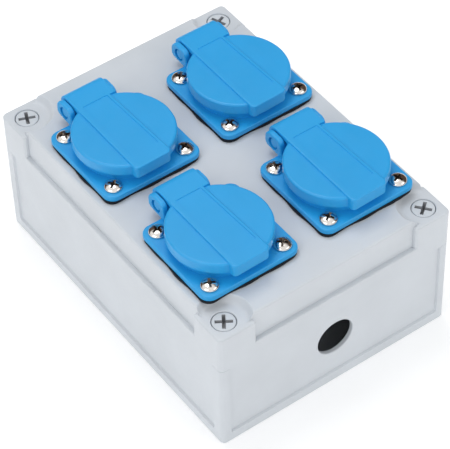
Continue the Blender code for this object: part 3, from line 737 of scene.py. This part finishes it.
def housing_piece():
    """Flange, collar, well and hinge ears in one moulding."""
    step = FLANGE_BOTTOM + 0.4
    profile = [(0, COLLAR_TOP), (COLLAR_RADIUS, COLLAR_TOP), (COLLAR_RADIUS, step), (TUBE_RADIUS, step)]
    profile += [(TUBE_RADIUS, TUBE_BOTTOM), (0, TUBE_BOTTOM)]
    housing = turned(filleted(profile, [0, 0.5, 0, 0, 0.3, 0], closed=False))
    flange = slab(rounded_rectangle(FLANGE_SIDE, FLANGE_SIDE, FLANGE_CORNER), FLANGE_BOTTOM, FLANGE_TOP, 0.7, 0.2)
    left = slab(ear_outline(), *LEFT_EAR, 0.45, 0.8, matrix=ALONG_X)
    right = slab(ear_outline(), *RIGHT_EAR, 0.35, 0.35, matrix=ALONG_X)
    joined(housing, flange)
    joined(housing, left, right)
    floor_bottom = WELL_FLOOR - FLOOR_THICKNESS
    chamfer = 0.4
    well_profile = [(0, WELL_FLOOR), (WELL_RADIUS, WELL_FLOOR), (WELL_RADIUS, COLLAR_TOP - chamfer)]
    well_profile += [(WELL_RADIUS + chamfer, z) for z in (COLLAR_TOP, COLLAR_TOP + PAST)] + [(0, COLLAR_TOP + PAST)]
    well = turned(filleted(well_profile, [0, 0.8, 0.1, 0, 0, 0], closed=False))
    rear = cylinder(WELL_RADIUS, TUBE_BOTTOM - PAST, floor_bottom, steps=64)
    cut(housing, well, rear)
    ribs = []
    rib_half_x, rib_half_y, rib_edge = 1.4, 2.4, 0.5
    for side in (-1, 1):
        centre = side * (WELL_RADIUS - 0.6)
        outline = filleted(rectangle(centre - rib_half_x, -rib_half_y, centre + rib_half_x, rib_half_y), rib_edge)
        ribs.append(slab(outline, WELL_FLOOR - 0.5, COLLAR_TOP - 1.2, rib_edge))
    joined(housing, *ribs)
    mouth, hole = 3.3, 2.6
    pin_hole = [(0, 1), (mouth, 1), (mouth, 0), (hole, -0.7), (hole, -4), (0, -4)]
    cutters = [turned(pin_hole, 32, Matrix.Translation((x, 0, WELL_FLOOR))) for x in (-PIN_X, PIN_X)]
    cutters += earth_openings(18.6, floor_bottom - 1, WELL_FLOOR + 1)
    for x, y in four_corners(FLANGE_HOLE, FLANGE_HOLE):
        cutters.append(cylinder(FLANGE_SCREW_HOLE, -PAST, 2 * PAST, x, y, 16))
    cut(housing, *cutters)
    half = 30
    axis = Matrix.Translation((0, HINGE_Y, HINGE_Z)) @ ALONG_X
    bore = turned([(0, -half), (HINGE_BORE, -half), (HINGE_BORE, half), (0, half)], 24, axis)
    recess = cylinder(PIN_HEAD_BORE, -20, LEFT_EAR[0] + PIN_HEAD_DEPTH, HINGE_Y, HINGE_Z, 40, ALONG_X)
    return cut(housing, bore, recess)


def lid_piece():
    """A shallow round cap with a raised band from the hinge barrel to the finger tab."""
    profile = [
        (0, LID_TOP),
        (LID_RADIUS, LID_TOP),
        (LID_RADIUS, LID_BOTTOM),
        (LID_RADIUS - LID_WALL, LID_BOTTOM),
        (LID_RADIUS - LID_WALL, LID_CEILING),
        (0, LID_CEILING),
    ]
    rounding = [0, 1.1, 0.4, 0.3, 0.5, 0]
    lid = turned(filleted(profile, rounding, 6, closed=False))
    left, right_front, right_back = -10.3, 8.9, 7.2
    front, back = -24.8, 22.4
    tab_back = front + 4.5
    tip = [(left, front), (right_front, front + 0.4)]
    band = filleted(tip + [(right_back, back), (left, back)], [2, 2.4, 0, 0], 6)
    tab = filleted(tip + [(right_front, tab_back), (left, tab_back)], [2, 2.4, 0.6, 0.6], 6)
    joined(lid, slab(band, LID_CEILING + 0.3, BAND_TOP, 0.65))
    joined(lid, slab(tab, LID_BOTTOM, BAND_TOP - 0.01, 0.65, 0.5))
    half = HINGE_HALF_WIDTH
    top = BAND_TOP - 0.02
    barrel = [(back - 1.2, LID_CEILING)] + arc(HINGE_Y, HINGE_Z, HOOD_INNER_RADIUS, 132, -10, 20)
    barrel += [(HINGE_Y + HOOD_REACH, HINGE_Z + 0.8)]
    barrel += arc(HINGE_Y + HOOD_REACH - HOOD_ROLL, top - HOOD_ROLL, HOOD_ROLL, 0, 90, 16)
    barrel += [(back - 1.2, top)]
    joined(lid, slab(barrel, -half, half, 0.5, 0.5, matrix=ALONG_X))
    for side in (-1, 1):
        low, high = sorted((side * (half - KNUCKLE_WIDTH), side * (half - 0.15)))
        joined(lid, cylinder(KNUCKLE_RADIUS, low, high, HINGE_Y, HINGE_Z, 48, ALONG_X, 0.3))
    cut(lid, cylinder(HINGE_BORE, -15, 15, HINGE_Y, HINGE_Z, 24, ALONG_X))
    label = filleted([(-7.4, -16.8), (7.0, -16.8), (5.6, 21.4), (-7.4, 21.4)], 0.5)
    levels = ((-0.3, BAND_TOP + 0.3), (0, BAND_TOP), (0.12, BAND_TOP - 0.3))
    sunk = loft([[(x, y, z) for x, y in inset(label, d)] for d, z in levels])
    return cut(lid, sunk)


def lid_seal_piece():
    """A ring under the lid's ceiling, just above the collar's rim when the lid is shut."""
    inner, outer, bottom = 18.4, 21.7, 9.3
    profile = [(inner, LID_CEILING), (inner, bottom), (outer, bottom), (outer, LID_CEILING)]
    outline = filleted(profile, [0, 0.5, 0.5, 0])
    return turned(outline + outline[:1])


def hinge_pin_piece():
    """Shank on the hinge axis, with a plain round head sunk in the left ear."""
    head_radius, shank_radius = 2.3, 1.2
    low = LEFT_EAR[0] + 0.5
    head = cylinder(head_radius, low, LEFT_EAR[0] + 1.55, HINGE_Y, HINGE_Z, 40, ALONG_X, 0.3)
    shank = cylinder(shank_radius, low + 0.6, RIGHT_EAR[1] - 0.2, HINGE_Y, HINGE_Z, 24, ALONG_X)
    return joined(head, shank)


def spring_piece():
    """A torsion coil about the hinge pin, with one end under the lid and one just above the flange."""
    turns, half_length, radius, wire_radius = 3.5, 4.0, 2.6, 0.35
    count = 90
    start = math.radians(95)
    route = [(-half_length, HINGE_Y - radius, HINGE_Z + radius * 0.8)]
    for i in range(count + 1):
        angle = start - 2 * math.pi * turns * i / count
        x = half_length * (2 * i / count - 1)
        route.append((x, HINGE_Y + radius * math.cos(angle), HINGE_Z + radius * math.sin(angle)))
    route.append((half_length, COLLAR_RADIUS + 1, FLANGE_TOP + 1))
    return tube(route, wire_radius)


def flange_screw_piece():
    """A pan head with a Phillips recess; its own z = 0 is the underside of the head."""
    radius, height, rim, shank = 4.1, 2.3, 0.5, 1.7
    dome = [(0, height)]
    for degrees in range(10, 90, 10):
        angle = math.radians(degrees)
        dome.append((radius * math.sin(angle), rim + (height - rim) * math.cos(angle)))
    dome += [(radius, rim), (radius - 0.25, 0)]
    screw = turned(dome + [(shank, 0), (shank, -8), (0.3, -10), (0, -10)], 48)
    cross = tapered_plus(*FLANGE_CROSS, 3.0, 0.9, 0.3, height + 0.2)
    cone = turned([(0, height + 0.2), (1.3, height + 0.2), (0.5, 0.2), (0, 0.2)], 24)
    return cut(screw, joined(cross, cone))


def contact_piece():
    """A split spring sleeve above a terminal block with two wire holes; its axis is at x = 0."""
    inner, lip, outer = 2.5, 2.9, 3.3
    mouth, socket_floor, foot = -12.5, -25.5, -27.3
    profile = [(inner, socket_floor), (inner, mouth), (lip, mouth + 0.2), (outer, mouth), (outer, foot)]
    profile += [(0, foot), (0, socket_floor), (inner, socket_floor)]
    sleeve = turned(profile, 32)
    slit_half, wire_hole = 0.4, 1.6
    block_half_x, block_half_y, block_top, block_height = 4, 4.5, -27, 7
    cut(sleeve, slab(rectangle(-slit_half, -PAST, slit_half, PAST), block_top + 5, CARRIER_TOP + 2))
    outline = filleted(rectangle(-block_half_x, -block_half_y, block_half_x, block_half_y), 0.8)
    joined(sleeve, slab(outline, block_top - block_height, block_top, 0.3, 0.3))
    for y in (-2.2, 2.2):
        cut(sleeve, cylinder(wire_hole, -6, 6, y, block_top - block_height / 2, 24, ALONG_X))
    return sleeve


def carrier_piece():
    """A disc behind the well, with holes for the sleeves and notches for the earth strap."""
    disc = cylinder(CARRIER_RADIUS, CARRIER_BOTTOM, CARRIER_TOP, steps=72, edge=0.5)
    below, above = -30, 0
    sleeve_holes = [cylinder(SLEEVE_HOLE, below, above, x, 0) for x in (-PIN_X, PIN_X)]
    return cut(disc, *sleeve_holes, *earth_openings(25, below, above))


def earth_strap_piece():
    """A bent strip under the carrier; its ends rise along the well as sprung side contacts."""
    thickness, half_width, reach, bridge = 0.9, 4, 18.2, -23.3
    bend, bulge, tip = WELL_FLOOR + 3, WELL_FLOOR + 9, WELL_FLOOR + 13.5
    bulge_reach = reach - 2.3
    outer = [(reach, bridge - thickness), (reach, bend), (bulge_reach, bulge), (reach, tip)]
    inner = [(reach - thickness, tip), (bulge_reach - thickness, bulge)]
    inner += [(reach - thickness, bend), (reach - thickness, bridge)]
    half = filleted(outer + inner, [1, 2, 1.5, 0, 0, 0.6, 1.1, 0.2], closed=False)
    outline = half + [(-y, z) for y, z in reversed(half)]
    return slab(outline, -half_width, half_width, 0.15, 0.15, matrix=ALONG_X)


def smooth_route(points):
    """A Catmull-Rom curve through the points."""
    steps = 8
    padded = [points[0]] + list(points) + [points[-1]]
    route = []
    for a, b, c, d in zip(padded, padded[1:], padded[2:], padded[3:]):
        a, b, c, d = (Vector(p) for p in (a, b, c, d))
        for step in range(steps):
            t = step / steps
            parabola = 2 * b + (c - a) * t + (2 * a - 5 * b + 4 * c - d) * t * t
            route.append(0.5 * (parabola + (3 * b - a - 3 * c + d) * t ** 3))
    return route + [Vector(points[-1])]


def wire_pieces():
    """One insulated wire for each pole, looped through the terminals of all four sockets."""
    places = socket_places()
    stations = [places[name] for name in ("front_left", "back_left", "back_right", "front_right")]
    routes = (("line", -PIN_X, 30.5, 0), ("neutral", PIN_X, 30.5, -2.5), ("earth", 0, 26.5, 3))
    for pole, offset_x, depth, sag in routes:
        level = COVER_TOP - depth
        low = level - 6 + sag
        points = []
        for (x, y), (next_x, next_y) in zip(stations, stations[1:]):
            x, next_x = x + offset_x, next_x + offset_x
            points += [(x, y, level), (x + (next_x - x) * 0.2, y + (next_y - y) * 0.2, low)]
            points += [(x + (next_x - x) * 0.8, y + (next_y - y) * 0.8, low)]
        last_x, last_y = stations[-1]
        points.append((last_x + offset_x, last_y, level))
        wire = tube(smooth_route(points), WIRE_RADIUS)
        piece(f"{pole}_wire", wire, WIRE_COLOURS[pole], "box")


# ---------------------------------------------------------------- assembly


def build_enclosure():
    piece("enclosure_base_shell", base_piece(), GREY, "box", ["enclosure_base"])
    piece("enclosure_cover_shell", cover_piece(), GREY, "box", ["enclosure_cover"])
    piece("cover_seal_ring", seal_piece(), GASKET_BLACK, "box", ["cover_seal"])
    screw = finished(cover_screw_piece(), "cover_screw_head")
    # The faces inside the cross recess take the darker grey: painted shade.
    with_painted_recess_shade(screw, *COVER_CROSS, -4.6, SCREW_GREY, PAINTED_SHADE_GREY)
    for number, (x, y) in enumerate(four_corners(COVER_SCREW_X, COVER_SCREW_Y), 1):
        place, turn = (x, y, PAD_TOP - 0.25), COVER_SCREW_TURNS[number - 1]
        node = f"cover_screw_{number}"
        piece(f"plastic_{node}", screw, SCREW_GREY, "box", [node], place, turn)


def build_sockets():
    """Each mesh is made once and shared by the four sockets; every flange screw stops at an angle of its own."""
    fixed = {
        "socket_housing": (finished(housing_piece(), "housing"), BLUE, "blue_plastic"),
        "flange_gasket": (finished(gasket_piece(), "gasket"), GASKET_BLACK, "black_rubber"),
        "contact_carrier": (finished(carrier_piece(), "carrier"), CARRIER_BLACK, "black_carrier_plastic"),
        "earth_strap": (finished(earth_strap_piece(), "earth_strap"), BRASS, "brass"),
        "hinge_pin": (finished(hinge_pin_piece(), "pin"), BLUE, "blue_plastic"),
        "lid_spring": (finished(spring_piece(), "spring"), STEEL, "plated_steel"),
    }
    lid = finished(lid_piece(), "lid")
    lid_seal = finished(lid_seal_piece(), "lid_seal")
    contact = finished(contact_piece(), "contact")
    screw = finished(flange_screw_piece(), "flange_screw")
    # The faces inside the cross recess take the dark steel: painted shade.
    with_painted_recess_shade(screw, *FLANGE_CROSS, 0.2, STEEL, PAINTED_SHADE_STEEL)
    for index, (socket, (x, y)) in enumerate(socket_places().items()):
        spot = (x, y, COVER_TOP)
        for node, (mesh, look, slot) in fixed.items():
            piece(f"{socket}_{node}", mesh, look, "box", [f"{node}_{socket}"], spot)
        piece(f"{socket}_lid_cap", lid, BLUE, f"{socket}_lid", [f"lid_{socket}"], spot)
        piece(f"{socket}_lid_seal", lid_seal, GASKET_BLACK, f"{socket}_lid", (), spot)
        for pole, side in (("line", -1), ("neutral", 1)):
            place = (x + side * PIN_X, y, COVER_TOP)
            piece(f"{socket}_{pole}_contact", contact, BRASS, "box", [f"{pole}_contact_{socket}"], place)
        for number, (dx, dy) in enumerate(four_corners(FLANGE_HOLE, FLANGE_HOLE), 1):
            turn = 37 * (4 * index + number) % 90
            place = (x + dx, y + dy, COVER_TOP + FLANGE_TOP + 0.05)
            node = f"flange_screw_{socket}_{number}"
            piece(f"{socket}_flange_screw_{number}", screw, STEEL, "box", [node], place, turn)


# ---------------------------------------------------------------- stage


def back_vector(azimuth, elevation):
    """The direction from the box towards a light or the camera."""
    a, e = math.radians(azimuth), math.radians(elevation)
    return Vector((math.sin(a) * math.cos(e), -math.cos(a) * math.cos(e), math.sin(e)))


def add_floor():
    bm = bmesh.new()
    bmesh.ops.create_grid(bm, x_segments=1, y_segments=1, size=FLOOR_REACH)
    floor = from_bmesh(bm)
    workshop.objects.unlink(floor)
    bpy.context.scene.collection.objects.link(floor)
    floor.name = "floor"
    floor.location.z = -FLOOR_DROP
    nodes = Nodes("floor_white")
    nodes.shader.inputs["Base Color"].default_value = (0.9, 0.9, 0.9, 1)
    nodes.shader.inputs["Roughness"].default_value = 0.9
    nodes.shader.inputs["Emission Color"].default_value = (1, 1, 1, 1)
    nodes.shader.inputs["Emission Strength"].default_value = FLOOR_GLOW
    floor.data.materials.append(nodes.material)


def add_area_light(name, azimuth, elevation, distance, size, watts):
    """A square soft light aimed at the middle of the box."""
    back = back_vector(azimuth, elevation)
    data = bpy.data.lights.new(name, "AREA")
    data.size = size
    data.energy = watts
    light = bpy.data.objects.new(name, data)
    bpy.context.scene.collection.objects.link(light)
    light.location = Vector(LIT_POINT) + back * distance
    light.rotation_euler = back.to_track_quat("Z", "Y").to_euler()


def add_world():
    """An even pale sky for soft light; what is glossy sees one bright side of it, and dark brown elsewhere."""
    world = bpy.data.worlds.new("studio")
    bpy.context.scene.world = world
    world.use_nodes = True
    tree = world.node_tree
    background = tree.nodes["Background"]
    background.inputs["Color"].default_value = SKY_COLOUR
    background.inputs["Strength"].default_value = SKY_STRENGTH
    mirrored = tree.nodes.new("ShaderNodeBackground")
    direction = tree.nodes.new("ShaderNodeTexCoord")
    facing = tree.nodes.new("ShaderNodeVectorMath")
    facing.operation = "DOT_PRODUCT"
    facing.inputs[1].default_value = SOFTBOX_DIRECTION
    ramp = tree.nodes.new("ShaderNodeValToRGB")
    for element, (position, colour) in zip(ramp.color_ramp.elements, (MIRRORED_DARK, MIRRORED_BRIGHT)):
        element.position = position
        element.color = colour
    tree.links.new(direction.outputs["Generated"], facing.inputs[0])
    tree.links.new(facing.outputs["Value"], ramp.inputs["Fac"])
    tree.links.new(ramp.outputs["Color"], mirrored.inputs["Color"])
    path = tree.nodes.new("ShaderNodeLightPath")
    mix = tree.nodes.new("ShaderNodeMixShader")
    tree.links.new(path.outputs["Is Glossy Ray"], mix.inputs["Fac"])
    tree.links.new(background.outputs["Background"], mix.inputs[1])
    tree.links.new(mirrored.outputs["Background"], mix.inputs[2])
    tree.links.new(mix.outputs["Shader"], tree.nodes["World Output"].inputs["Surface"])


def add_camera():
    """The camera solved from the photograph."""
    back = back_vector(CAMERA_AZIMUTH, CAMERA_ELEVATION)
    roll = math.radians(CAMERA_ROLL)
    level = Vector((0, 0, 1)).cross(back).normalized()
    upright = back.cross(level)
    right = math.cos(roll) * level + math.sin(roll) * upright
    up = -math.sin(roll) * level + math.cos(roll) * upright
    camera = bpy.data.objects.new("camera", bpy.data.cameras.new("camera"))
    bpy.context.scene.collection.objects.link(camera)
    axes = Matrix((right, up, back)).transposed().to_4x4()
    camera.matrix_world = Matrix.Translation(CAMERA_PLACE) @ axes
    camera.data.sensor_width = 36
    camera.data.lens = CAMERA_LENS
    camera.data.clip_start = 0.01
    camera.data.clip_end = 20
    bpy.context.scene.camera = camera


def main():
    build_enclosure()
    build_sockets()
    wire_pieces()
    add_floor()
    add_world()
    for light in LIGHTS:
        add_area_light(*light)
    add_camera()
    bpy.context.scene.view_settings.view_transform = "Standard"
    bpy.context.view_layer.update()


main()
